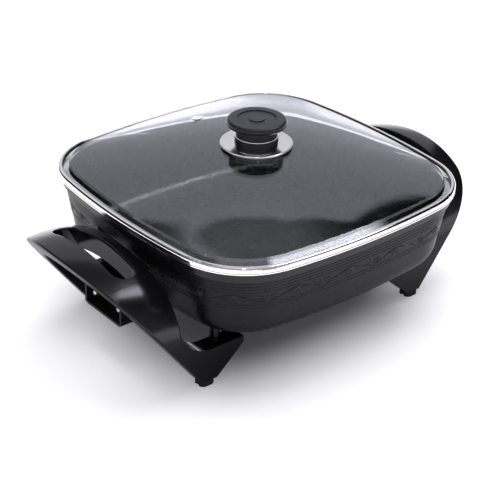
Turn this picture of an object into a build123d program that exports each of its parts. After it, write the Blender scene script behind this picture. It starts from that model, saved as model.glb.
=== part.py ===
from build123d import *
import os
from math import cos, radians, sin, sqrt, tan

# Square electric skillet with a lift-off glass lid, in millimetres.
# The origin lies on the table under the middle of the pan. X runs along the two handles with the
# socket at -X, Y runs along the grips and -Y is the front, Z is up.

# Outline of lid and pan seen from above: a square with bowed sides and round corners
LID_HALF = 153.0
SIDE_BOW = 16.7
CORNER_R = 71.0

# Pan
PAN_CLEARANCE = 56.0
PAN_FLOOR = 5.0
PAN_DEPTH = 65.7
PAN_WALL = 3.5
PAN_DRAFT = 9.0
PAN_EDGE_R = 22.0
LIP_INSET = 3.5
LIP_HEIGHT = 8.0
LIP_STEP = 2.5
LIP_ROUND = 1.2

# Lid
LID_GAP = 0.3
LID_PLAY = 0.6
GLASS = 4.0
GLASS_FIT = 0.3
RIM_METAL = 1.2
RIM_HEM = 4.0
RIM_ROLL = 2.4
RIM_GROOVE = 0.5
RIM_GROOVE_RISE = 1.4
RIM_GROOVE_HEIGHT = 0.9
RIM_ROUND = 0.6
SKIRT_DEPTH = 4.0
SHOULDER_INSET = 11.5
SHOULDER_RISE = 4.0
CROWN_RISE = 23.7
CROWN_SHARES = (1.0, 0.75, 0.5, 0.25, 0.1)
VENT_X = 3.0
VENT_INSET = 62.0
VENT_R = 3.0
VENT_FLANGE_R = 5.2
VENT_METAL = 0.9

# Knob
FLANGE_R = 32.7
FLANGE_METAL = 1.2
FLANGE_RISE = 3.2
FLANGE_SINK = 0.9
FLANGE_BRIM = 2.4
FLANGE_ROUND = 1.0
NECK_R = 18.6
NECK_HEIGHT = 15.5
COLLAR_R = 19.7
COLLAR_HEIGHT = 5.5
DISC_R = 27.3
DISC_HEIGHT = 6.7
DISC_ROUND = 3.2
CAP_R = 18.7
CAP_DEPTH = 2.4
CAP_DISH = 0.9
CAP_RING_R = 7.2
KNOB_SCREW_R = 2.5
KNOB_SCREW_HEAD_R = 4.6
KNOB_SCREW_HEAD = 3.2
INSERT_WALL = 2.0
INSERT_LENGTH = 11.0
WASHER_R = 10.0
WASHER_HEIGHT = 2.0
GLASS_HOLE_R = 4.0

# Handles with their legs
GRIP_DROP = 9.7
GRIP_CROWN = 4.0
GRIP_CREST = 0.5
GRIP_DEPTH = 16.0
ARCH_SAG = 30.75
ARCH_CORNER_R = 53.0
HANDLE_HALF = 93.0
LEG_WIDTH = 17.0
LEAN = 37.0
LEG_THICK = 14.7
FOOT_LENGTH = 16.5
RAIL_GAP = 3.5
RAIL_WIDTH = 13.0
RAIL_ROUND = 2.5
SLOT_WIDTH = 21.5
SLOT_LENGTH = 104.0
SLOT_ROUND = 1.5
LEG_BEND_R = 33.0
HOOK_REACH = 66.5
HOOK_HEIGHT = 6.0
HANDLE_EDGE_R = 1.6
COVER_HALF = 52.0
COVER_MARGIN = 3.5
COVER_THICK = 2.5
COVER_GAP = 0.15
RECESS_DEPTH = 8.0

# Leg posts and screws
POST_REACH = 43.0
POST_EDGE = 11.0
POST_HEIGHT = 9.0
POST_R = 4.4
POST_SEAT = 8.0
BOSS_HEIGHT = 10.0
SCREW_R = 2.0
SCREW_HEAD_R = 3.5
SCREW_HEAD = 2.6
SCREW_REACH = 8.0
SCREW_PLAY = 0.15
ACCESS_PLAY = 0.5

# Feet
PAD_HEIGHT = 6.0
PAD_ROUND = 5.0
PAD_MARGIN = 1.5
PAD_LENGTH = 13.5
PAD_GROOVE = 1.2
PAD_GROOVE_WIDTH = 4.0
STEM_R = 2.5
STEM_HEIGHT = 4.0

# Heating element, terminals and socket
ELEMENT_R = 3.5
ELEMENT_INSET = 73.0
ELEMENT_BEND_R = 14.0
ELEMENT_DROP = 1.0
ELEMENT_FIT = 0.1
RIB_WIDTH = 16.0
RIB_HEIGHT = 6.5
TERMINAL_SPACING = 36.0
TERMINAL_R = 2.5
TERMINAL_REACH = 25.0
TERMINAL_ROOT = 20.0
BUSH_R = 5.5
BUSH_ROOT = 9.0
BUSH_NOSE = 5.0
BUSH_FIT = 0.1
BLOCK_HALF = 25.0
PROBE_R = 3.2
PROBE_WALL = 0.6
PROBE_DEPTH = 48.0
PROBE_REACH = 6.0
HOUSING_HALF = 27.5
HOUSING_WALL = 2.2
HOUSING_DROP = 7.0
HOUSING_HEIGHT = 36.0
HOUSING_DEPTH = 28.0
HOUSING_ROUND = 1.5
HOUSING_PLAY = 0.3
HOUSING_SCREW_Y = 9.0
EARTH_RISE = 9.0
EARTH_WIDTH = 7.0
EARTH_THICK = 1.0
EARTH_ROOT = 6.0
EARTH_REACH = 14.0

# Heights and lengths worked out from the driving dimensions
BOW_R = (LID_HALF**2 + SIDE_BOW**2) / (2 * SIDE_BOW)
draft = tan(radians(PAN_DRAFT))
lean = tan(radians(LEAN))

pan_floor = PAN_CLEARANCE + PAN_FLOOR
pan_top = pan_floor + PAN_DEPTH
lip_bottom = pan_top - LIP_HEIGHT

rim_bottom = pan_top + LID_GAP
glass_bottom = rim_bottom + RIM_METAL + GLASS_FIT
glass_top = glass_bottom + GLASS
rim_top = glass_top + GLASS_FIT + RIM_METAL
shoulder = glass_top + SHOULDER_RISE
crown = shoulder + CROWN_RISE

flange_rim = crown - FLANGE_SINK
flange_top = flange_rim + FLANGE_RISE
disc_bottom = flange_top + NECK_HEIGHT
disc_top = disc_bottom + DISC_HEIGHT
washer_top = crown - GLASS - GLASS_FIT

boss_bottom = PAN_CLEARANCE - BOSS_HEIGHT
leg_floor = boss_bottom - POST_HEIGHT
post_bottom = leg_floor - POST_SEAT

leg_inner = HANDLE_HALF - LEG_WIDTH
arch_r = (HANDLE_HALF**2 + ARCH_SAG**2) / (2 * ARCH_SAG)
grip_top = pan_top - GRIP_DROP
grip_edge = grip_top - GRIP_CROWN
rail_x = LID_HALF - LIP_INSET + RAIL_GAP
slot_x = rail_x + RAIL_WIDTH + SLOT_WIDTH / 2
crest_x = slot_x + SLOT_WIDTH / 2 + GRIP_CREST
hook_x = rail_x - HOOK_REACH
post_x = rail_x - POST_REACH
post_y = HANDLE_HALF - POST_EDGE

# The leaning outer face passes the bend of the leg at the leg's thickness
bend_x = rail_x - LEG_BEND_R
bend_z = leg_floor + LEG_BEND_R
foot_reach = bend_x - bend_z * lean + (LEG_BEND_R + LEG_THICK) / cos(radians(LEAN))
foot_outer = foot_reach + PAD_HEIGHT * lean
foot_inner = foot_outer - FOOT_LENGTH

element_r = LID_HALF - ELEMENT_INSET
element_z = PAN_CLEARANCE - ELEMENT_DROP
rib_bottom = PAN_CLEARANCE - RIB_HEIGHT
housing_bottom = rib_bottom - HOUSING_DROP
block_top = housing_bottom + HOUSING_HEIGHT


def wall_inset(z):
    """How far the pan's outer wall stands inside the lid's outline at height z."""
    return LIP_INSET + LIP_STEP + (lip_bottom - z) * draft


def lean_x(z):
    """X of the handle's leaning outer face at height z."""
    return foot_reach + z * lean


def bowed_square(half, bow_r, corner_r):
    """Draws a square with bowed sides and round corners in the open sketch."""
    for side in range(4):
        with PolarLocations(bow_r - half, 1, start_angle=180 + 90 * side):
            Circle(bow_r, mode=Mode.INTERSECT if side else Mode.ADD)
    fillet(vertices(), corner_r)


def outline(inset):
    """Draws the lid's outline moved inwards by inset in the open sketch."""
    bowed_square(LID_HALF - inset, BOW_R - inset, CORNER_R - inset)


def ring(outer_inset, inner_inset, low, high, mode=Mode.ADD):
    """Adds a band between two insets of the outline, from height low to high."""
    with BuildSketch() as inner:
        outline(inner_inset)
    with BuildSketch(Plane.XY.offset(low)) as band:
        outline(outer_inset)
        add(inner.sketch, mode=Mode.SUBTRACT)
    extrude(band.sketch, amount=high - low, mode=mode)


block_face = wall_inset(block_top) - LID_HALF
terminals = [(-TERMINAL_SPACING / 2, 0), (TERMINAL_SPACING / 2, 0)]
housing_screws = [(-HOUSING_SCREW_Y, EARTH_RISE), (HOUSING_SCREW_Y, EARTH_RISE)]
posts = [(x, y) for x in (-post_x, post_x) for y in (-post_y, post_y)]
socket_plane = Plane(origin=(block_face, 0, element_z), x_dir=(0, -1, 0), z_dir=(-1, 0, 0))

# Route of the heating element: two straight ends and a ring between them
with BuildLine(Plane.XY.offset(element_z)) as element_route:
    half_gap = TERMINAL_SPACING / 2
    ring_x = -sqrt(element_r**2 - half_gap**2)
    end_x = block_face + TERMINAL_ROOT
    Line((end_x, half_gap), (ring_x, half_gap))
    ThreePointArc((ring_x, half_gap), (element_r, 0), (ring_x, -half_gap))
    Line((ring_x, -half_gap), (end_x, -half_gap))
    bends = element_route.vertices().filter_by_position(Axis.X, ring_x - 1, ring_x + 1)
    fillet(bends, ELEMENT_BEND_R)

element_start = Plane(origin=element_route.line @ 0, z_dir=element_route.line % 0)

# Space inside the pan
with BuildPart() as pan_space:
    for z in (pan_floor, pan_top):
        with BuildSketch(Plane.XY.offset(z)):
            outline(wall_inset(z) + PAN_WALL)
    loft(ruled=True)
    fillet(pan_space.edges().group_by(Axis.Z)[0], PAN_EDGE_R - PAN_WALL)

# Pan: drafted wall and lip, with the element rib, terminal block and screw bosses cast on
with BuildPart() as pan:
    for z in (PAN_CLEARANCE, lip_bottom):
        with BuildSketch(Plane.XY.offset(z)):
            outline(wall_inset(z))
    loft(ruled=True)
    fillet(pan.edges().group_by(Axis.Z)[0], PAN_EDGE_R)
    with BuildSketch(Plane.XY.offset(lip_bottom)):
        outline(LIP_INSET)
    extrude(amount=LIP_HEIGHT)
    fillet(pan.edges().group_by(Axis.Z)[-1], LIP_ROUND)
    with BuildSketch(Plane.XY.offset(rib_bottom)):
        trace(element_route.line, RIB_WIDTH)
        with Locations((block_face, 0)):
            Rectangle(PROBE_DEPTH + RIB_WIDTH, RIB_WIDTH, align=(Align.MIN, Align.CENTER))
    extrude(amount=pan_floor - rib_bottom)
    with BuildSketch(Plane.XY.offset(rib_bottom)):
        with Locations((block_face, 0)):
            Rectangle(TERMINAL_ROOT, 2 * BLOCK_HALF, align=(Align.MIN, Align.CENTER))
    extrude(amount=block_top - rib_bottom)
    with BuildSketch(Plane.XY.offset(boss_bottom)):
        with Locations(*posts):
            Circle(POST_R)
    extrude(amount=pan_floor - boss_bottom)
    add(pan_space.part, mode=Mode.SUBTRACT)
    with BuildSketch(Plane.XY.offset(rib_bottom)):
        trace(element_route.line, 2 * (ELEMENT_R + ELEMENT_FIT))
    extrude(amount=element_z - rib_bottom, mode=Mode.SUBTRACT)
    with BuildSketch(element_start):
        Circle(ELEMENT_R + ELEMENT_FIT)
    sweep(path=element_route.line, mode=Mode.SUBTRACT)
    with BuildSketch(socket_plane):
        with Locations(*terminals):
            Circle(ELEMENT_R + ELEMENT_FIT)
    extrude(amount=-TERMINAL_ROOT, mode=Mode.SUBTRACT)
    with BuildSketch(socket_plane):
        with Locations(*terminals):
            Circle(BUSH_R + BUSH_FIT)
    extrude(amount=-BUSH_ROOT, mode=Mode.SUBTRACT)
    with BuildSketch(socket_plane):
        Circle(PROBE_R + PROBE_WALL + BUSH_FIT)
    extrude(amount=-PROBE_DEPTH, mode=Mode.SUBTRACT)
    with BuildSketch(socket_plane):
        with Locations(*housing_screws):
            Circle(SCREW_R + SCREW_PLAY)
    extrude(amount=-SCREW_REACH, mode=Mode.SUBTRACT)
    with BuildSketch(socket_plane):
        with Locations((0, EARTH_RISE)):
            Rectangle(EARTH_WIDTH + 2 * BUSH_FIT, EARTH_THICK + 2 * BUSH_FIT)
    extrude(amount=-EARTH_ROOT, mode=Mode.SUBTRACT)
    with BuildSketch(Plane.XY.offset(boss_bottom)):
        with Locations(*posts):
            Circle(SCREW_R + SCREW_PLAY)
    extrude(amount=SCREW_REACH, mode=Mode.SUBTRACT)

# Sheathed heating element in the groove of the rib
with BuildPart() as heating_element:
    with BuildSketch(element_start):
        Circle(ELEMENT_R)
    sweep(path=element_route.line)

# Guide tube for the temperature probe of the plug-in control
with BuildPart() as probe_tube:
    with BuildSketch(socket_plane.offset(-PROBE_DEPTH)):
        Circle(PROBE_R + PROBE_WALL)
        Circle(PROBE_R, mode=Mode.SUBTRACT)
    extrude(amount=PROBE_DEPTH + PROBE_REACH)

# Earth contact, pressed into the terminal block
with BuildPart() as earth_tab:
    with BuildSketch(socket_plane.offset(-EARTH_ROOT)):
        with Locations((0, EARTH_RISE)):
            Rectangle(EARTH_WIDTH, EARTH_THICK)
    extrude(amount=EARTH_ROOT + EARTH_REACH)

# Socket housing: a box that is open towards the plug
with BuildPart() as socket_housing:
    with BuildSketch(socket_plane):
        with Locations((0, housing_bottom - element_z)):
            Rectangle(2 * HOUSING_HALF, HOUSING_HEIGHT, align=(Align.CENTER, Align.MIN))
        fillet(vertices(), HOUSING_ROUND + HOUSING_WALL)
    extrude(amount=HOUSING_DEPTH)
    mouth = socket_housing.faces().sort_by(Axis.X)[0]
    offset(amount=-HOUSING_WALL, openings=mouth)
    with BuildSketch(socket_plane):
        with Locations(*terminals):
            Circle(BUSH_R + HOUSING_PLAY)
        with Locations(*housing_screws):
            Circle(SCREW_R + SCREW_PLAY)
        with Locations((0, EARTH_RISE)):
            Rectangle(EARTH_WIDTH + 2 * HOUSING_PLAY, EARTH_THICK + 2 * HOUSING_PLAY)
        Circle(PROBE_R + PROBE_WALL + HOUSING_PLAY)
    extrude(amount=HOUSING_WALL, mode=Mode.SUBTRACT)

# Screws that hold the housing on the terminal block
with BuildPart() as housing_screw_set:
    with BuildSketch(socket_plane.offset(HOUSING_WALL)):
        with Locations(*housing_screws):
            Circle(SCREW_HEAD_R)
    extrude(amount=SCREW_HEAD)
    with BuildSketch(socket_plane.offset(HOUSING_WALL)):
        with Locations(*housing_screws):
            Circle(SCREW_R)
    extrude(amount=-(SCREW_REACH + HOUSING_WALL - SCREW_PLAY))

pieces = {
    "pan": pan,
    "heating_element": heating_element,
    "probe_tube": probe_tube,
    "earth_tab": earth_tab,
    "socket_housing": socket_housing,
    "housing_screws": housing_screw_set,
}

# Terminal pins and the ceramic bushes that carry them
for side, place in zip(("back", "front"), terminals):
    with BuildPart() as terminal_pin:
        with BuildSketch(socket_plane.offset(-TERMINAL_ROOT)):
            with Locations(place):
                Circle(TERMINAL_R)
        extrude(amount=TERMINAL_ROOT + TERMINAL_REACH)
        fillet(terminal_pin.edges().sort_by(Axis.X)[0], TERMINAL_R / 2)
    pieces[f"terminal_pin_{side}"] = terminal_pin
    with BuildPart() as bush:
        with BuildSketch(socket_plane.offset(-BUSH_ROOT)):
            with Locations(place):
                Circle(BUSH_R)
                Circle(TERMINAL_R + BUSH_FIT, mode=Mode.SUBTRACT)
        extrude(amount=BUSH_ROOT + BUSH_NOSE)
    pieces[f"insulator_{side}"] = bush


def arch(half, top, crown_r, corner_r):
    """Draws an upright arch of the given half width in the open sketch."""
    Rectangle(2 * half, top, align=(Align.CENTER, Align.MIN))
    with Locations((0, top - crown_r)):
        Circle(crown_r, mode=Mode.INTERSECT)
    fillet(vertices().group_by(Axis.Y)[-1], corner_r)


def arch_loft(stations):
    """Adds a smooth body through arches at the given X and top height to the open part."""
    sections = []
    for x, top in stations:
        with BuildSketch(Plane.YZ.offset(x)) as section:
            arch(HANDLE_HALF, top, arch_r, ARCH_CORNER_R)
        sections.append(section.sketch)
    loft(sections)


def handle_side():
    """Draws the side view of a handle: leaning outer face, rail, bend, hook and foot."""
    above = grip_top + GRIP_CROWN
    bend = (rail_x, leg_floor, 0)
    Polygon(
        (foot_outer, PAD_HEIGHT),
        (lean_x(above), above),
        (rail_x, above),
        (rail_x, leg_floor),
        (hook_x, leg_floor),
        (hook_x, leg_floor - HOOK_HEIGHT),
        (foot_inner, PAD_HEIGHT),
        align=None,
    )
    fillet(vertices().sort_by_distance(bend)[0], LEG_BEND_R)


def cover_band(gap):
    """Draws the strip along the crown of the grip that the cover closes."""
    margin = COVER_MARGIN + gap
    with Locations((0, grip_edge - arch_r)):
        Circle(arch_r - margin)
        Circle(arch_r - GRIP_DEPTH + margin, mode=Mode.SUBTRACT)
    Rectangle(
        2 * (COVER_HALF - gap), grip_top, align=(Align.CENTER, Align.MIN), mode=Mode.INTERSECT
    )


def leaning_slab(depth):
    """Keeps what lies within depth behind the handle's leaning face."""
    with BuildSketch(Plane.XZ) as slab:
        Polygon(
            (lean_x(0), 0),
            (lean_x(grip_top), grip_top),
            (lean_x(grip_top) - depth, grip_top),
            (lean_x(0) - depth, 0),
            align=None,
        )
    extrude(slab.sketch, amount=HANDLE_HALF, both=True, mode=Mode.INTERSECT)


def on_top(edge):
    """Tells whether an edge lies in the upper half of the arched grip."""
    middle = edge.center()
    return middle.Z > grip_edge - GRIP_DEPTH / 2 - middle.Y**2 / (2 * arch_r)


lean_plane = Plane(origin=(foot_reach, 0, 0), x_dir=(0, 1, 0), z_dir=(1, 0, -lean))
grip_end = lean_x(grip_top)
handle_depth = grip_end - hook_x
right_posts = [(post_x, post_y), (post_x, -post_y)]
foot_x = (foot_inner + foot_outer) / 2
foot_y = HANDLE_HALF - (PAD_LENGTH + PAD_MARGIN) / 2
right_feet = [(foot_x, foot_y), (foot_x, -foot_y)]

# Hollow of the grip behind its cover
with BuildPart() as grip_recess:
    with BuildSketch(Plane.YZ.offset(hook_x)):
        cover_band(0)
    extrude(amount=handle_depth)
    leaning_slab(RECESS_DEPTH)

# Right handle: an arch with a crowned top that comes down to a leg at each end
with BuildPart() as right_handle:
    with BuildSketch(Plane.YZ.offset(hook_x)):
        arch(HANDLE_HALF, grip_edge, arch_r, ARCH_CORNER_R)
    extrude(amount=rail_x - hook_x)
    arch_loft([
        (rail_x + RAIL_ROUND * (1 - cos(radians(turn))), grip_edge - RAIL_ROUND * (1 - sin(radians(turn))))
        for turn in (0, 30, 60, 90)
    ])
    arch_loft([
        (rail_x + RAIL_ROUND, grip_edge),
        (crest_x, grip_top),
        (grip_end, grip_edge),
    ])
    with BuildSketch(Plane.XZ):
        handle_side()
    extrude(amount=HANDLE_HALF, both=True, mode=Mode.INTERSECT)
    with BuildSketch(Plane.YZ.offset(hook_x)):
        arch(leg_inner, grip_edge - GRIP_DEPTH, arch_r - GRIP_DEPTH, ARCH_CORNER_R - LEG_WIDTH)
    extrude(amount=handle_depth, mode=Mode.SUBTRACT)
    fillet(right_handle.faces().filter_by(lean_plane).edges(), HANDLE_EDGE_R)
    with BuildSketch(Plane.XY.offset(grip_top + GRIP_CROWN)):
        with Locations((slot_x, 0)):
            SlotOverall(SLOT_LENGTH, SLOT_WIDTH, rotation=90)
    extrude(amount=-2 * GRIP_DEPTH - GRIP_CROWN, mode=Mode.SUBTRACT)
    slot_edges = right_handle.edges().filter_by_position(Axis.Y, -SLOT_LENGTH / 2, SLOT_LENGTH / 2)
    slot_edges = slot_edges.filter_by_position(Axis.X, slot_x - SLOT_WIDTH / 2, slot_x + SLOT_WIDTH / 2)
    fillet(slot_edges.filter_by(Axis.Z, reverse=True).filter_by(on_top), SLOT_ROUND)
    add(grip_recess.part, mode=Mode.SUBTRACT)
    with BuildSketch(Plane.XY.offset(leg_floor)):
        with Locations(*right_posts):
            Circle(POST_R)
    extrude(amount=boss_bottom - leg_floor)
    with BuildSketch(Plane.XY.offset(post_bottom)):
        with Locations(*right_posts):
            Circle(SCREW_HEAD_R + ACCESS_PLAY)
    extrude(amount=-post_bottom, mode=Mode.SUBTRACT)
    with BuildSketch(Plane.XY.offset(post_bottom)):
        with Locations(*right_posts):
            Circle(SCREW_R + SCREW_PLAY)
    extrude(amount=boss_bottom - post_bottom, mode=Mode.SUBTRACT)
    with BuildSketch(Plane.XY.offset(PAD_HEIGHT)):
        with Locations(*right_feet):
            Circle(STEM_R + COVER_GAP)
    extrude(amount=STEM_HEIGHT, mode=Mode.SUBTRACT)
pieces["right_handle"] = right_handle

# Cover strip of the right grip
with BuildPart() as right_grip_cover:
    with BuildSketch(Plane.YZ.offset(hook_x)):
        cover_band(COVER_GAP)
    extrude(amount=handle_depth)
    leaning_slab(COVER_THICK)
pieces["right_grip_cover"] = right_grip_cover

# The left handle and its cover are mirror images of the right ones
with BuildPart() as left_handle:
    mirror(right_handle.part, about=Plane.YZ)
pieces["left_handle"] = left_handle

with BuildPart() as left_grip_cover:
    mirror(right_grip_cover.part, about=Plane.YZ)
pieces["left_grip_cover"] = left_grip_cover

# Screws up through the leg posts into the pan
with BuildPart() as leg_screws:
    with BuildSketch(Plane.XY.offset(post_bottom)):
        with Locations(*posts):
            Circle(SCREW_HEAD_R)
    extrude(amount=-SCREW_HEAD)
    with BuildSketch(Plane.XY.offset(post_bottom)):
        with Locations(*posts):
            Circle(SCREW_R)
    extrude(amount=boss_bottom - post_bottom + SCREW_REACH - SCREW_PLAY)
pieces["leg_screws"] = leg_screws

# Rubber feet, each with a stem in the leg and a groove across its sole
for end, side_y in (("front", -1), ("back", 1)):
    for side, side_x in (("left", -1), ("right", 1)):
        sole = Plane((side_x * foot_x, side_y * foot_y, 0))
        with BuildPart() as foot:
            with BuildSketch(sole):
                Rectangle(FOOT_LENGTH - PAD_MARGIN, PAD_LENGTH)
                fillet(vertices(), PAD_ROUND)
            extrude(amount=PAD_HEIGHT)
            with BuildSketch(sole.offset(PAD_HEIGHT)):
                Circle(STEM_R)
            extrude(amount=STEM_HEIGHT)
            with BuildSketch(sole):
                Rectangle(FOOT_LENGTH, PAD_GROOVE_WIDTH)
            extrude(amount=PAD_GROOVE, mode=Mode.SUBTRACT)
        pieces[f"foot_{end}_{side}"] = foot


def glass_dome(drop):
    """Adds the sloped shoulder and the crown of the lid, lowered by drop, to the open part."""
    slope = []
    for inset, z in ((slope_inset, glass_top), (SHOULDER_INSET, shoulder)):
        with BuildSketch(Plane.XY.offset(z - drop)) as section:
            outline(inset)
        slope.append(section.sketch)
    loft(slope, ruled=True)
    crown_sections = []
    for share in CROWN_SHARES:
        half = crown_half * share
        bow = crown_bow + (1 - crown_bow) * (1 - share**2)
        corner = crown_corner + (1 - crown_corner) * (1 - share**2)
        with BuildSketch(Plane.XY.offset(crown - CROWN_RISE * share**2 - drop)) as section:
            bowed_square(half, half / bow, half * corner)
        crown_sections.append(section.sketch)
    loft(crown_sections)


slope_inset = RIM_HEM + GLASS_FIT
skirt_inset = wall_inset(rim_bottom - SKIRT_DEPTH) + PAN_WALL + LID_PLAY
crown_half = LID_HALF - SHOULDER_INSET
crown_bow = crown_half / (BOW_R - SHOULDER_INSET)
crown_corner = (CORNER_R - SHOULDER_INSET) / crown_half
vent_y = LID_HALF - VENT_INSET
vent_z = crown - CROWN_RISE * (vent_y / crown_half) ** 2
vent_slope = 2 * CROWN_RISE * vent_y / crown_half**2
vent_plane = Plane(origin=(VENT_X, vent_y, vent_z), x_dir=(1, 0, 0), z_dir=(0, vent_slope, 1))

# Space under the glass
with BuildPart() as lid_space:
    glass_dome(GLASS)

# Domed glass with its flat edge, the hole for the knob screw and the vent hole
with BuildPart() as lid_glass:
    with BuildSketch(Plane.XY.offset(glass_bottom)):
        outline(RIM_METAL + GLASS_FIT)
    extrude(amount=GLASS)
    glass_dome(0)
    add(lid_space.part, mode=Mode.SUBTRACT)
    with BuildSketch(Plane.XY.offset(crown)):
        Circle(GLASS_HOLE_R)
    extrude(amount=-2 * GLASS, mode=Mode.SUBTRACT)
    with BuildSketch(vent_plane):
        Circle(VENT_R)
    extrude(amount=2 * GLASS, both=True, mode=Mode.SUBTRACT)
pieces["lid_glass"] = lid_glass

# Rolled steel rim: outer band with a groove, top and bottom hems, locating skirt
with BuildPart() as lid_rim:
    ring(0, RIM_METAL, rim_bottom, rim_top)
    ring(0, RIM_HEM, glass_top + GLASS_FIT, rim_top)
    ring(0, skirt_inset + RIM_METAL, rim_bottom, rim_bottom + RIM_METAL)
    fillet(lid_rim.faces().sort_by(Axis.Z)[-1].outer_wire().edges(), RIM_ROLL)
    hem_edges = lid_rim.faces().sort_by(Axis.Z)[-1].inner_wires()[0].edges()
    fillet(hem_edges + lid_rim.edges().group_by(Axis.Z)[0], RIM_ROUND)
    ring(skirt_inset, skirt_inset + RIM_METAL, rim_bottom - SKIRT_DEPTH, rim_bottom + RIM_METAL)
    groove_bottom = rim_bottom + RIM_GROOVE_RISE
    ring(0, RIM_GROOVE, groove_bottom, groove_bottom + RIM_GROOVE_HEIGHT, mode=Mode.SUBTRACT)
pieces["lid_rim"] = lid_rim

# Vent grommet, a steel eyelet through the glass
with BuildPart() as vent_grommet:
    with BuildSketch(vent_plane.offset(-GLASS - GLASS_FIT)):
        Circle(VENT_R - GLASS_FIT)
    extrude(amount=GLASS + 2 * GLASS_FIT)
    with BuildSketch(vent_plane.offset(GLASS_FIT)):
        Circle(VENT_FLANGE_R)
    extrude(amount=VENT_METAL)
    fillet(vent_grommet.edges().sort_by(Axis.Z)[-1], VENT_METAL / 2)
    with BuildSketch(vent_plane.offset(-GLASS - GLASS_FIT)):
        Circle(VENT_FLANGE_R)
    extrude(amount=-VENT_METAL)
    with BuildSketch(vent_plane):
        Circle(VENT_R - GLASS_FIT - VENT_METAL)
    extrude(amount=2 * GLASS, both=True, mode=Mode.SUBTRACT)
pieces["vent_grommet"] = vent_grommet

# Steel plate with a rolled edge that the knob stands on
with BuildPart() as knob_flange:
    with BuildSketch(Plane.XZ):
        Polygon(
            (KNOB_SCREW_R + GLASS_FIT, flange_top),
            (NECK_R, flange_top),
            (FLANGE_R, flange_rim + FLANGE_BRIM),
            (FLANGE_R, flange_rim),
            (FLANGE_R - FLANGE_METAL, flange_rim),
            (FLANGE_R - FLANGE_METAL, flange_rim + FLANGE_BRIM - FLANGE_METAL),
            (NECK_R - FLANGE_METAL / 2, flange_top - FLANGE_METAL),
            (KNOB_SCREW_R + GLASS_FIT, flange_top - FLANGE_METAL),
            align=None,
        )
    revolve(axis=Axis.Z)
    edges = knob_flange.edges().filter_by(GeomType.CIRCLE)
    outer = edges.filter_by(lambda edge: edge.radius > FLANGE_R - FLANGE_METAL / 2)
    fillet(outer.sort_by(Axis.Z)[-1], FLANGE_ROUND)
pieces["knob_flange"] = knob_flange

# Knob: a round-edged disc on a neck with a collar, hollow for the insert below and for the cap above
insert_r = KNOB_SCREW_R + INSERT_WALL
with BuildPart() as knob_grip:
    with BuildSketch(Plane.XZ):
        Polygon(
            (0, flange_top), (NECK_R, flange_top), (NECK_R, disc_bottom), (0, disc_bottom), align=None
        )
    revolve(axis=Axis.Z)
    with BuildSketch(Plane.XY.offset(disc_bottom)):
        Circle(DISC_R)
    extrude(amount=DISC_HEIGHT)
    rims = knob_grip.edges().filter_by(GeomType.CIRCLE).filter_by(lambda edge: edge.radius > NECK_R)
    fillet(rims, DISC_ROUND)
    with BuildSketch(Plane.XY.offset(flange_top)):
        Circle(COLLAR_R)
    extrude(amount=COLLAR_HEIGHT)
    with BuildSketch(Plane.XY.offset(disc_top)):
        Circle(CAP_R + COVER_GAP)
    extrude(amount=-CAP_DEPTH, mode=Mode.SUBTRACT)
    with BuildSketch(Plane.XY.offset(flange_top)):
        Circle(insert_r + COVER_GAP)
    extrude(amount=INSERT_LENGTH, mode=Mode.SUBTRACT)
pieces["knob_grip"] = knob_grip

# Inlay of the knob, dished round a small raised centre
with BuildPart() as knob_cap:
    with BuildSketch(Plane.XY.offset(disc_top - CAP_DEPTH)):
        Circle(CAP_R)
    extrude(amount=CAP_DEPTH)
    with BuildSketch(Plane.XY.offset(disc_top)):
        Circle(CAP_R - CAP_DISH)
        Circle(CAP_RING_R, mode=Mode.SUBTRACT)
    extrude(amount=-CAP_DISH, mode=Mode.SUBTRACT)
pieces["knob_cap"] = knob_cap

# Brass insert in the neck, screw from below and silicone washer under the glass
with BuildPart() as knob_insert:
    with BuildSketch(Plane.XY.offset(flange_top)):
        Circle(insert_r)
        Circle(KNOB_SCREW_R + SCREW_PLAY, mode=Mode.SUBTRACT)
    extrude(amount=INSERT_LENGTH)
pieces["knob_insert"] = knob_insert

with BuildPart() as knob_washer:
    with BuildSketch(Plane.XY.offset(washer_top)):
        Circle(WASHER_R)
        Circle(KNOB_SCREW_R + SCREW_PLAY, mode=Mode.SUBTRACT)
    extrude(amount=-WASHER_HEIGHT)
pieces["knob_washer"] = knob_washer

with BuildPart() as knob_screw:
    with BuildSketch(Plane.XY.offset(washer_top - WASHER_HEIGHT)):
        Circle(KNOB_SCREW_HEAD_R)
    extrude(amount=-KNOB_SCREW_HEAD)
    with BuildSketch(Plane.XY.offset(washer_top - WASHER_HEIGHT)):
        Circle(KNOB_SCREW_R)
    extrude(amount=flange_top + INSERT_LENGTH - SCREW_PLAY - washer_top + WASHER_HEIGHT)
pieces["knob_screw"] = knob_screw

os.makedirs("parts", exist_ok=True)
for name, piece in pieces.items():
    piece.part.label = name
    export_step(piece.part, f"parts/{name}.step")
    print(name, len(piece.part.solids()), round(piece.part.volume))
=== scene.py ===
import math

import bpy
from mathutils import Matrix, Vector


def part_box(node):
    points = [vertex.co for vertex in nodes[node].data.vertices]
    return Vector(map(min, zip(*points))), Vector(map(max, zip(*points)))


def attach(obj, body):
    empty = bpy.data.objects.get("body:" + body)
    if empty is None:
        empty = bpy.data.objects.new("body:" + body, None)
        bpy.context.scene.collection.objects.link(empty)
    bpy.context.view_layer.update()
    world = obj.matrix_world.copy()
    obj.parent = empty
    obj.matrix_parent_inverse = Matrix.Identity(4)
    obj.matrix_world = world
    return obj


# Looks of a square electric skillet: camera, materials, the cast relief on the pan's wall, the steel bead
# round the knob's neck, and the studio. Metres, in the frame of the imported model.

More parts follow.
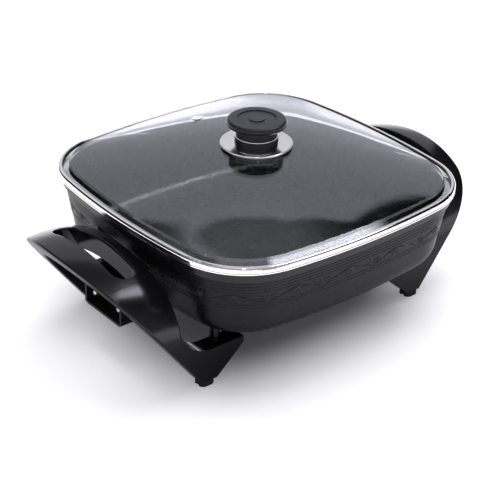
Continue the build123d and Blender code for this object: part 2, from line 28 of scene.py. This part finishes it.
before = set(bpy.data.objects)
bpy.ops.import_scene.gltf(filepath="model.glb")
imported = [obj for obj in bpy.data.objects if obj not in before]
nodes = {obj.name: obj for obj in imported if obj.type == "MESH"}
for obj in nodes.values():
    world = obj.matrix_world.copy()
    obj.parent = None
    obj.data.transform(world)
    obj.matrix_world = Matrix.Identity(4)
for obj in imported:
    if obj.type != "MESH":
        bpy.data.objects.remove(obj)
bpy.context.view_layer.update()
scene = bpy.context.scene
scene.view_settings.view_transform = "Standard"

MILLIMETRE = 0.001
QUARTER_TURN = math.pi / 2
UPWARD = Vector((0, 0, 1))

# Camera, from a fit of the lid, the knob, the socket and the feet to the photo
CAMERA_PLACE = Vector((-0.72643, -0.86313, 0.68493))
CAMERA_AIM = Vector((-0.02227, -0.02169, 0.0675))
CAMERA_LENS = 99.688
CAMERA_ROLL = math.radians(1.474)
SENSOR_WIDTH = 36.0
CLIP_NEAR = 0.05
CLIP_FAR = 60.0

ahead = (CAMERA_AIM - CAMERA_PLACE).normalized()
level_right = ahead.cross(UPWARD).normalized()
level_up = level_right.cross(ahead)
right = level_right * math.cos(CAMERA_ROLL) + level_up * math.sin(CAMERA_ROLL)
up = right.cross(ahead)

camera_data = bpy.data.cameras.new("camera")
camera_data.lens = CAMERA_LENS
camera_data.sensor_width = SENSOR_WIDTH
camera_data.clip_start = CLIP_NEAR
camera_data.clip_end = CLIP_FAR
camera = bpy.data.objects.new("camera", camera_data)
camera.matrix_world = Matrix.Translation(CAMERA_PLACE) @ Matrix((right, up, -ahead)).transposed().to_4x4()
scene.collection.objects.link(camera)
scene.camera = camera

# The Mix node has one set of sockets for numbers and another for colours.
MIX_FACTOR = 0
MIX_NUMBERS = (2, 3)
MIX_NUMBER_OUT = 0
MIX_COLORS = (6, 7)
MIX_COLOR_OUT = 2

# Most of a noise texture's values lie between these two.
NOISE_LOW = 0.3
NOISE_HIGH = 0.7


class Shader:
    """Adds nodes to a tree and links them."""

    def __init__(self, tree):
        self.tree = tree
        tree.nodes.clear()

    def add(self, kind, links=None, **settings):
        node = self.tree.nodes.new(kind)
        for name, value in settings.items():
            setattr(node, name, value)
        for name, value in (links or {}).items():
            self.put(node.inputs[name], value)
        return node

    def put(self, socket, value):
        if isinstance(value, bpy.types.NodeSocket):
            self.tree.links.new(value, socket)
        elif socket.type == "RGBA" and len(value) == 3:
            socket.default_value = (*value, 1.0)
        else:
            socket.default_value = value

    def math(self, operation, *values):
        node = self.add("ShaderNodeMath", operation=operation)
        for socket, value in zip(node.inputs, values):
            self.put(socket, value)
        return node.outputs[0]

    def product(self, first, *others):
        for other in others:
            first = self.math("MULTIPLY", first, other)
        return first

    def largest(self, first, *others):
        for other in others:
            first = self.math("MAXIMUM", first, other)
        return first

    def vector(self, operation, *values):
        node = self.add("ShaderNodeVectorMath", operation=operation)
        for socket, value in zip(node.inputs, values):
            self.put(socket, value)
        return node

    def dot(self, vector, direction):
        return self.vector("DOT_PRODUCT", vector, direction).outputs["Value"]

    def ramp(self, value, low, high, start=0.0, end=1.0, kind="SMOOTHSTEP"):
        links = {"Value": value, "From Min": low, "From Max": high, "To Min": start, "To Max": end}
        return self.add("ShaderNodeMapRange", links, interpolation_type=kind).outputs["Result"]

    def fall(self, value, low, high):
        return self.ramp(value, low, high, 1.0, 0.0)

    def spread(self, noise, low, high):
        return self.ramp(noise, NOISE_LOW, NOISE_HIGH, low, high)

    def noise(self, vector, scale, detail=2.0, roughness=0.5):
        links = {"Vector": vector, "Scale": scale, "Detail": detail, "Roughness": roughness}
        return self.add("ShaderNodeTexNoise", links).outputs["Fac"]

    def stretched(self, vector, scale):
        return self.add("ShaderNodeMapping", {"Vector": vector, "Scale": scale}).outputs["Vector"]

    def bump(self, height, strength, distance):
        links = {"Height": height, "Strength": strength, "Distance": distance}
        return self.add("ShaderNodeBump", links).outputs["Normal"]

    def mix(self, factor, values, data_type, sockets, result):
        node = self.add("ShaderNodeMix", data_type=data_type)
        self.put(node.inputs[MIX_FACTOR], factor)
        for socket, value in zip(sockets, values):
            self.put(node.inputs[socket], value)
        return node.outputs[result]

    def tint(self, factor, dark, light):
        return self.mix(factor, (dark, light), "RGBA", MIX_COLORS, MIX_COLOR_OUT)

    def level(self, factor, low, high):
        return self.mix(factor, (low, high), "FLOAT", MIX_NUMBERS, MIX_NUMBER_OUT)

    def spot(self):
        return self.add("ShaderNodeTexCoord").outputs["Object"]

    def rays(self):
        """Whether the camera sees a point itself, and whether it is seen mirrored or through glass."""
        path = self.add("ShaderNodeLightPath")
        mirror = self.largest(path.outputs["Is Glossy Ray"], path.outputs["Is Transmission Ray"])
        return path.outputs["Is Camera Ray"], mirror

    def principled(self, **sockets):
        links = {name.replace("_", " "): value for name, value in sockets.items()}
        return self.add("ShaderNodeBsdfPrincipled", links).outputs["BSDF"]

    def finish(self, surface, kind="ShaderNodeOutputMaterial"):
        self.add(kind, {"Surface": surface})


def new_material(name):
    material = bpy.data.materials.new(name)
    material.use_nodes = True
    return material, Shader(material.node_tree)


def black_moulding(name, dark, light, rough, grain, grain_depth):
    """Glossy black moulded phenolic with a faint flow pattern and an even skin."""
    material, shader = new_material(name)
    spot = shader.spot()
    flow = shader.noise(shader.stretched(spot, (1.0, 0.35, 1.0)), scale=26.0, detail=4.0, roughness=0.55)
    fine = shader.noise(spot, grain)
    shader.finish(shader.principled(
        Base_Color=shader.tint(flow, dark, light),
        Roughness=shader.spread(flow, rough * 0.85, rough * 1.2),
        IOR=1.43,
        Normal=shader.bump(fine, strength=0.25, distance=grain_depth),
    ))
    return material


def metal(name, color, rough, streak):
    """Worked metal with faint lines along its length and a few soft marks."""
    material, shader = new_material(name)
    spot = shader.spot()
    lines = shader.noise(shader.stretched(spot, (1.0, 1.0, 40.0)), streak, detail=3.0)
    marks = shader.noise(spot, scale=60.0, detail=4.0)
    shader.finish(shader.principled(
        Base_Color=shader.tint(marks, tuple(0.9 * c for c in color), color),
        Metallic=1.0,
        Roughness=shader.spread(lines, rough * 0.8, rough * 1.3),
        Normal=shader.bump(marks, strength=0.05, distance=0.0002),
    ))
    return material


def cap_material():
    """Inlay of the knob: satin black with fine turned rings."""
    ring_pitch = 0.0011
    material, shader = new_material("cap_black")
    spot = shader.spot()
    flat = shader.vector("MULTIPLY", spot, (1.0, 1.0, 0.0)).outputs["Vector"]
    reach = shader.vector("LENGTH", flat).outputs["Value"]
    turned = shader.math("SINE", shader.math("MULTIPLY", reach, 2 * math.pi / ring_pitch))
    cloud = shader.noise(spot, scale=120.0, detail=3.0)
    shader.finish(shader.principled(
        Base_Color=shader.tint(cloud, (0.02, 0.02, 0.026), (0.03, 0.03, 0.038)),
        Roughness=shader.spread(cloud, 0.38, 0.5),
        IOR=1.5,
        Normal=shader.bump(turned, strength=0.25, distance=0.0001),
    ))
    return material


def coating_material():
    """Dark non-stick coat on cast aluminium: fine sprayed grain, faint mottling and a few flecks."""
    material, shader = new_material("nonstick_coat")
    spot = shader.spot()
    mottle = shader.noise(spot, scale=45.0, detail=5.0, roughness=0.6)
    grain = shader.noise(spot, scale=1500.0)
    fleck = shader.ramp(shader.noise(spot, scale=2600.0, detail=1.0), 0.68, 0.74)
    base = shader.tint(mottle, (0.004, 0.004, 0.005), (0.007, 0.007, 0.0088))
    shader.finish(shader.principled(
        Base_Color=shader.tint(fleck, base, (0.015, 0.015, 0.016)),
        Roughness=shader.spread(mottle, 0.25, 0.3),
        IOR=1.42,
        Normal=shader.bump(grain, strength=0.1, distance=0.00004),
    ))
    return material


def rubber_material():
    """Matt black rubber of the feet, a little worn."""
    material, shader = new_material("foot_rubber")
    spot = shader.spot()
    worn = shader.noise(spot, scale=240.0, detail=4.0)
    grain = shader.noise(spot, scale=1800.0)
    shader.finish(shader.principled(
        Base_Color=shader.tint(worn, (0.01, 0.01, 0.01), (0.024, 0.024, 0.024)),
        Roughness=shader.spread(worn, 0.6, 0.8),
        Normal=shader.bump(grain, strength=0.4, distance=0.0002),
    ))
    return material


def pale_material(name, dark, light, rough):
    """Pale insulating stuff: steatite bushes and the silicone washer."""
    material, shader = new_material(name)
    cloud = shader.noise(shader.spot(), scale=300.0, detail=4.0)
    shader.finish(shader.principled(
        Base_Color=shader.tint(cloud, dark, light),
        Roughness=shader.spread(cloud, rough * 0.85, rough * 1.15),
        Normal=shader.bump(cloud, strength=0.1, distance=0.0002),
    ))
    return material


def glass_material():
    """Clear tempered glass. Light passes through it to what lies below."""
    material, shader = new_material("lid_glass")
    haze = shader.noise(shader.spot(), scale=9.0, detail=3.0)
    glass = shader.principled(
        Base_Color=shader.tint(haze, (0.93, 0.96, 0.955), (0.95, 0.975, 0.97)),
        Roughness=0.0,
        IOR=1.5,
        Transmission_Weight=1.0,
    )
    clear = shader.add("ShaderNodeBsdfTransparent", {"Color": (0.9, 0.93, 0.925)}).outputs["BSDF"]
    shadow_ray = shader.add("ShaderNodeLightPath").outputs["Is Shadow Ray"]
    both = shader.add("ShaderNodeMixShader")
    for socket, value in zip(both.inputs, (shadow_ray, glass, clear)):
        shader.put(socket, value)
    shader.finish(both.outputs["Shader"])
    return material


# Black mouldings: dark and light tone, roughness, grain's scale and depth
handle_black = black_moulding(
    "handle_black", (0.004, 0.004, 0.005), (0.0075, 0.0075, 0.009), 0.17, 900.0, 0.00004
)
cover_black = black_moulding(
    "cover_black", (0.006, 0.006, 0.007), (0.011, 0.011, 0.0125), 0.2, 1400.0, 0.0001
)
socket_black = black_moulding(
    "socket_black", (0.006, 0.006, 0.0065), (0.01, 0.01, 0.0105), 0.32, 1200.0, 0.00012
)
knob_black = black_moulding(
    "knob_black", (0.013, 0.013, 0.017), (0.02, 0.02, 0.026), 0.32, 1600.0, 0.0001
)
# Metals: colour, roughness, scale of the lines
rim_steel = metal("rim_steel", (0.88, 0.86, 0.83), 0.07, 500.0)
flange_steel = metal("flange_steel", (0.87, 0.85, 0.82), 0.14, 300.0)
pin_metal = metal("pin_metal", (0.85, 0.83, 0.78), 0.18, 900.0)
screw_steel = metal("screw_steel", (0.6, 0.6, 0.62), 0.3, 1200.0)
sheath_steel = metal("sheath_steel", (0.34, 0.33, 0.31), 0.42, 700.0)
brass = metal("brass", (0.75, 0.57, 0.27), 0.28, 800.0)
# Other stuff
nonstick_coat = coating_material()
rubber = rubber_material()
steatite = pale_material("steatite", (0.72, 0.68, 0.6), (0.84, 0.81, 0.74), 0.45)
silicone = pale_material("silicone", (0.6, 0.6, 0.57), (0.72, 0.72, 0.7), 0.5)

coats = {
    "pan": nonstick_coat,
    "heating_element": sheath_steel,
    "probe_tube": sheath_steel,
    "earth_tab": brass,
    "socket_housing": socket_black,
    "housing_screws": screw_steel,
    "terminal_pin_back": pin_metal,
    "terminal_pin_front": pin_metal,
    "insulator_back": steatite,
    "insulator_front": steatite,
    "left_handle": handle_black,
    "right_handle": handle_black,
    "left_grip_cover": cover_black,
    "right_grip_cover": cover_black,
    "leg_screws": screw_steel,
    "lid_glass": glass_material(),
    "lid_rim": rim_steel,
    "vent_grommet": rim_steel,
    "knob_flange": flange_steel,
    "knob_grip": knob_black,
    "knob_cap": cap_material(),
    "knob_insert": brass,
    "knob_screw": screw_steel,
    "knob_washer": silicone,
}
coats.update({name: rubber for name in nodes if name.startswith("foot_")})
for name, material in coats.items():
    mesh = nodes[name].data
    mesh.materials.clear()
    mesh.materials.append(material)


def smooth_piece(name, corners, faces, material):
    """New object with a smooth-shaded mesh of its own."""
    mesh = bpy.data.meshes.new(name)
    mesh.from_pydata(corners, [], faces)
    mesh.update()
    for face in mesh.polygons:
        face.use_smooth = True
    mesh.materials.append(material)
    piece = bpy.data.objects.new(name, mesh)
    scene.collection.objects.link(piece)
    return piece


# Cast relief on the pan's outer wall. The outline is that of the part's source, in millimetres.
LID_HALF = 153.0
SIDE_BOW = 16.7
CORNER_R = 71.0
WALL_TOP = 118.7
WALL_INSET = 6.0
WALL_DRAFT = math.radians(9.0)
BAND_MIDDLE = 99.5
BAND_MOTIFS = 36
BAND_RISE = 0.48
STEM_WAVE = 4.0
STEM_WIDTH = 1.3
STEM_STEPS = 16
LEAF_WIDTH = 2.3
LEAF_TIP = 0.3
LEAF_STEPS = 9
LEAVES = ((-62, 11.0), (-30, 8.5), (0, 7.0), (30, 8.5), (62, 11.0))  # slant in degrees, length
ROOT_SLANT = 0.75  # share of a leaf's slant at its root
SLANT_GAIN = 0.45  # share gained towards its tip
LINE_HEIGHTS = (90.0, 93.0, 106.0, 109.0, 112.0, 115.0)
LINE_WIDTH = 1.2
LINE_RISE = 0.36
LINE_STEPS = 240
RIDGE_SECTION = ((-1.0, -0.4), (-0.8, 0.45), (0.0, 1.0), (0.8, 0.45), (1.0, -0.4))

bow_r = (LID_HALF**2 + SIDE_BOW**2) / (2 * SIDE_BOW)
bow_back = bow_r - LID_HALF
corner_at = (math.sqrt(2 * (bow_r - CORNER_R) ** 2 - bow_back**2) - bow_back) / 2
side_turn = math.atan2(corner_at, corner_at + bow_back)
band_inset = WALL_INSET + (WALL_TOP - BAND_MIDDLE) * math.tan(WALL_DRAFT)
side_length = 2 * side_turn * (bow_r - band_inset)
corner_length = (QUARTER_TURN - 2 * side_turn) * (CORNER_R - band_inset)
quarter_length = side_length + corner_length


def wall_turn(along):
    """Angle that the wall faces at a length along the outline, counted from the middle of the +X side."""
    quarter, rest = divmod(along + side_length / 2, quarter_length)
    if rest < side_length:
        local = rest / (bow_r - band_inset) - side_turn
    else:
        local = side_turn + (rest - side_length) / (CORNER_R - band_inset)
    return quarter * QUARTER_TURN + local


def wall_point(along, height):
    """Point of the wall and its outward direction, for a length along the outline and a height."""
    turn = wall_turn(along)
    inset = WALL_INSET + (WALL_TOP - height) * math.tan(WALL_DRAFT)
    quarter = round(turn / QUARTER_TURN)
    local = turn - quarter * QUARTER_TURN
    if abs(local) <= side_turn:
        x = (bow_r - inset) * math.cos(local) - bow_back
        y = (bow_r - inset) * math.sin(local)
    else:
        x = corner_at + (CORNER_R - inset) * math.cos(local)
        y = math.copysign(corner_at, local) + (CORNER_R - inset) * math.sin(local)
    spin = Matrix.Rotation(quarter * QUARTER_TURN, 3, "Z")
    level = math.cos(WALL_DRAFT)
    out = Vector((math.cos(turn) * level, math.sin(turn) * level, -math.sin(WALL_DRAFT)))
    return spin @ Vector((x, y, height)), out


class Relief:
    """Collects half-round ridges on the wall into one mesh. Each ridge is closed."""

    def __init__(self):
        self.corners = []
        self.faces = []

    def ridge(self, route, widths, rise, loop=False):
        count, start, ring = len(route), len(self.corners), len(RIDGE_SECTION)
        spots = [wall_point(*spot) for spot in route]
        for step, (spot, out) in enumerate(spots):
            after = spots[(step + 1) % count if loop else min(step + 1, count - 1)][0]
            before = spots[step - 1 if loop else max(step - 1, 0)][0]
            across = out.cross((after - before).normalized())
            for side, height in RIDGE_SECTION:
                corner = spot + across * side * widths[step] / 2 + out * height * rise
                self.corners.append(corner * MILLIMETRE)
        for step in range(count if loop else count - 1):
            here = start + step * ring
            there = start + (step + 1) % count * ring
            for k in range(ring):
                n = (k + 1) % ring
                self.faces.append((here + k, there + k, there + n, here + n))
        if not loop:
            self.faces.append(tuple(start + k for k in range(ring)))
            self.faces.append(tuple(start + (count - 1) * ring + k for k in reversed(range(ring))))

    def finish(self, name):
        piece = smooth_piece(name, self.corners, self.faces, nonstick_coat)
        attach(piece, "base")


def swell(count, width, tip):
    """Widths along a ridge that is full in the middle and thin at both ends."""
    return [tip + (width - tip) * math.sin(math.pi * (k + 0.5) / count) for k in range(count)]


def scroll_band():
    """Running leaf band: a waving stem with leaves fanned out in each hollow."""
    relief = Relief()
    pitch = 4 * quarter_length / BAND_MOTIFS
    stem = [
        (pitch * k / STEM_STEPS, BAND_MIDDLE + STEM_WAVE * math.sin(math.pi * k / STEM_STEPS))
        for k in range(BAND_MOTIFS * STEM_STEPS)
    ]
    relief.ridge(stem, [STEM_WIDTH] * len(stem), BAND_RISE, loop=True)
    leaf_widths = swell(LEAF_STEPS, LEAF_WIDTH, LEAF_TIP)
    for motif in range(BAND_MOTIFS):
        way = -1 if motif % 2 else 1
        root_along, root_height = (motif + 0.5) * pitch, BAND_MIDDLE + way * STEM_WAVE
        for slant, length in LEAVES:
            leaf = []
            for k in range(LEAF_STEPS):
                share = k / (LEAF_STEPS - 1)
                turn = math.radians(slant * (ROOT_SLANT + SLANT_GAIN * share))
                along = root_along + length * share * math.sin(turn)
                leaf.append((along, root_height - way * length * share * math.cos(turn)))
            relief.ridge(leaf, leaf_widths, BAND_RISE)
    relief.finish("wall_scroll")


def wall_lines():
    """Fine raised lines above and below the leaf band."""
    relief = Relief()
    for height in LINE_HEIGHTS:
        loop = [(4 * quarter_length * k / LINE_STEPS, height) for k in range(LINE_STEPS)]
        relief.ridge(loop, [LINE_WIDTH] * LINE_STEPS, LINE_RISE, loop=True)
    relief.finish("wall_lines")


# Bead on the knob, in millimetres. The neck and its collar are those of the part's source.
NECK_R = 18.6
COLLAR_HEIGHT = 5.5
BEAD_R = 0.7
BEAD_OUT = 0.4  # how far its middle lies outside the neck, as a share of its radius
BEAD_LIFT = 0.7  # how far its middle lies above the collar, likewise
BEAD_TURNS = 96
BEAD_SIDES = 10


def neck_bead():
    """Thin steel bead round the knob's neck, on top of its collar."""
    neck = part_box("knob_insert")[0]
    foot = Vector((0.0, 0.0, neck[2] + COLLAR_HEIGHT * MILLIMETRE))
    corners, faces = [], []
    for k in range(BEAD_TURNS):
        turn = 2 * math.pi * k / BEAD_TURNS
        out = Vector((math.cos(turn), math.sin(turn), 0.0))
        for n in range(BEAD_SIDES):
            lean = 2 * math.pi * n / BEAD_SIDES
            reach = NECK_R + BEAD_R * (BEAD_OUT + math.cos(lean))
            lift = BEAD_R * (BEAD_LIFT + math.sin(lean))
            corners.append(foot + (out * reach + UPWARD * lift) * MILLIMETRE)
            here, there = k * BEAD_SIDES, (k + 1) % BEAD_TURNS * BEAD_SIDES
            after = (n + 1) % BEAD_SIDES
            faces.append((here + n, there + n, there + after, here + after))
    piece = smooth_piece("neck_bead", corners, faces, flange_steel)
    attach(piece, "lid")


scroll_band()
wall_lines()
neck_bead()

# Floor. Distance from the object is counted in its own half sizes, with rounded squares as lines of equal
# distance. Each glow is a sum of ramps: from distance, to distance, strength there. The glow is nil close to
# the object and grows away from it, so it paints a shadow round and under the object, seen and mirrored.
FLOOR_HALF = 8.0
OBJECT_HALF = {"X": 0.215, "Y": 0.17}
SQUARENESS = 4.0
# Painted shadow: these glows are nil near the object, so the floor there is darker than its lamps make it.
SEEN_GLOW_PAINTED_SHADOW = ((0.4, 0.9, 0.58), (2.5, 7.0, 0.4))
MIRRORED_GLOW_PAINTED_SHADOW = ((1.3, 1.6, 0.9), (2.0, 4.0, 0.6))
FLOOR_COLOR = (0.79, 0.78, 0.84)
GLOW_COLOR = (0.99, 0.98, 1.0)


def floor_material():
    """White floor with the lamps' cast shadow, plus a glow that fades out near the object: a painted shadow
    round it. Far off it fades into the white surroundings.
    """
    material, shader = new_material("floor_white_painted_shadow")
    camera_ray, mirror = shader.rays()
    split = shader.add("ShaderNodeSeparateXYZ", {"Vector": shader.spot()})
    powers = []
    for axis, half in OBJECT_HALF.items():
        share = shader.math("ABSOLUTE", shader.math("DIVIDE", split.outputs[axis], half))
        powers.append(shader.math("POWER", share, SQUARENESS))
    distance = shader.math("POWER", shader.math("ADD", *powers), 1 / SQUARENESS)
    glows_painted_shadow = []
    # Glow growing with distance from the object: a painted shadow near it, for the camera and in reflections.
    for ray, steps in ((camera_ray, SEEN_GLOW_PAINTED_SHADOW), (mirror, MIRRORED_GLOW_PAINTED_SHADOW)):
        ramps = [shader.ramp(distance, low, high, end=strength) for low, high, strength in steps]
        glows_painted_shadow.append(shader.math("MULTIPLY", ray, shader.math("ADD", *ramps)))
    matt = shader.add("ShaderNodeBsdfDiffuse", {"Color": FLOOR_COLOR})
    glow_painted_shadow = shader.add("ShaderNodeEmission", {"Color": GLOW_COLOR, "Strength": shader.math("ADD", *glows_painted_shadow)})
    both = shader.add("ShaderNodeAddShader")
    shader.put(both.inputs[0], matt.outputs[0])
    shader.put(both.inputs[1], glow_painted_shadow.outputs[0])
    shader.finish(both.outputs[0])
    return material


def studio_floor():
    mesh = bpy.data.meshes.new("floor")
    corners = [(FLOOR_HALF * x, FLOOR_HALF * y, 0) for x, y in ((-1, -1), (1, -1), (1, 1), (-1, 1))]
    mesh.from_pydata(corners, [], [(0, 1, 2, 3)])
    floor = bpy.data.objects.new("floor", mesh)
    scene.collection.objects.link(floor)
    mesh.materials.append(floor_material())


# Surroundings as the steel, the glass and the mouldings mirror them. The rise and aside of a direction are
# its upward and sideways parts over its part ahead, and its height is the upward part alone. A pair is
# where something begins and is full, or where it begins to end and is gone; two more numbers are the
# strengths at these places.
LEAST_AHEAD = 0.02
BOARD_TOP = (1.17, 1.22)
BOARD_TOP_SLANT = -0.15
BOARD_RIGHT = (0.26, 0.31)
BOARD_RIGHT_SLANT = -0.2
BOARD_LEFT = (-0.8, -0.65)
BOARD_SHADE = (0.3, 1.1, 0.68, 1.0)
SWEEP_TOP = (0.085, 0.1)
SWEEP_SHADE = (-0.02, 0.04, 2.0, 1.2)
LINE_SHADE = (0.055, 0.065, 0.0, 2.2)
WINDOW_LEFT = (0.5, 1.2)
WINDOW_RIGHT = (2.4, 3.2)
WINDOW_FOOT = (0.74, 0.785, 0.0, 9.0)
WINDOW_TOP = (0.92, 0.97)
ROOM_SHADE = (0.6, 0.78, 0.03, 0.22)
ROOM_RIGHT = (0.3, 0.6, 1.0, 0.2)
CEILING_FOOT = (0.93, 0.97)
BEHIND_SHADE = (-0.35, 0.0, 0.42, 0.0)
MIRROR_HUE = (0.95, 0.945, 1.07)
# Strengths for the light on matt surfaces, and for the camera
SOFT_LIGHT = 0.35
WHITE = 1.0


def studio_world():
    """White surroundings for the camera. Mirrored, they are a white board ahead and a dark room elsewhere."""
    world = bpy.data.worlds.new("studio")
    world.use_nodes = True
    scene.world = world
    shader = Shader(world.node_tree)
    camera_ray, mirror = shader.rays()
    way = shader.add("ShaderNodeTexCoord").outputs["Generated"]
    flat_ahead = Vector((ahead.x, ahead.y, 0)).normalized()
    facing = shader.dot(way, flat_ahead)
    forward = shader.largest(facing, LEAST_AHEAD)
    height = shader.dot(way, UPWARD)
    rise = shader.math("DIVIDE", height, forward)
    aside = shader.math("DIVIDE", shader.dot(way, flat_ahead.cross(UPWARD)), forward)
    board = shader.product(
        shader.fall(shader.math("MULTIPLY_ADD", aside, BOARD_TOP_SLANT, rise), *BOARD_TOP),
        shader.fall(shader.math("MULTIPLY_ADD", rise, BOARD_RIGHT_SLANT, aside), *BOARD_RIGHT),
        shader.ramp(aside, *BOARD_LEFT),
        shader.ramp(rise, *BOARD_SHADE, "LINEAR"),
    )
    low = shader.fall(rise, *SWEEP_TOP)
    sweep = shader.product(low, shader.ramp(rise, *SWEEP_SHADE))
    line = shader.product(low, shader.ramp(rise, *LINE_SHADE))
    window = shader.product(
        shader.ramp(aside, *WINDOW_LEFT),
        shader.fall(aside, *WINDOW_RIGHT),
        shader.ramp(height, *WINDOW_FOOT),
        shader.fall(height, *WINDOW_TOP),
    )
    room = shader.product(shader.ramp(height, *ROOM_SHADE), shader.ramp(aside, *ROOM_RIGHT))
    ceiling = shader.ramp(height, *CEILING_FOOT)
    behind = shader.ramp(facing, *BEHIND_SHADE)
    mirrored = shader.largest(room, board, sweep, line, window, ceiling, behind)
    strength = shader.level(camera_ray, shader.level(mirror, SOFT_LIGHT, mirrored), WHITE)
    hue = shader.tint(mirror, (WHITE, WHITE, WHITE), MIRROR_HUE)
    sky = shader.add("ShaderNodeBackground", {"Color": hue, "Strength": strength})
    shader.finish(sky.outputs["Background"], "ShaderNodeOutputWorld")


def softbox(name, spot, aim, width, length, power):
    """Rectangular lamp that lights the matt surfaces and isn't mirrored."""
    data = bpy.data.lights.new(name, "AREA")
    data.shape = "RECTANGLE"
    data.size = width
    data.size_y = length
    data.energy = power
    lamp = bpy.data.objects.new(name, data)
    lamp.location = spot
    lamp.rotation_euler = (Vector(aim) - Vector(spot)).to_track_quat("-Z", "Y").to_euler()
    lamp.visible_glossy = False
    lamp.visible_transmission = False
    scene.collection.objects.link(lamp)


studio_floor()
studio_world()
softbox("top_light", spot=(0.1, 0.25, 2.4), aim=(0.0, 0.0, 0.05), width=1.6, length=1.6, power=31.0)
softbox("side_light", spot=(0.84, -0.1, 1.41), aim=(-0.1, -0.1, 0.12), width=0.5, length=0.42, power=3.8)
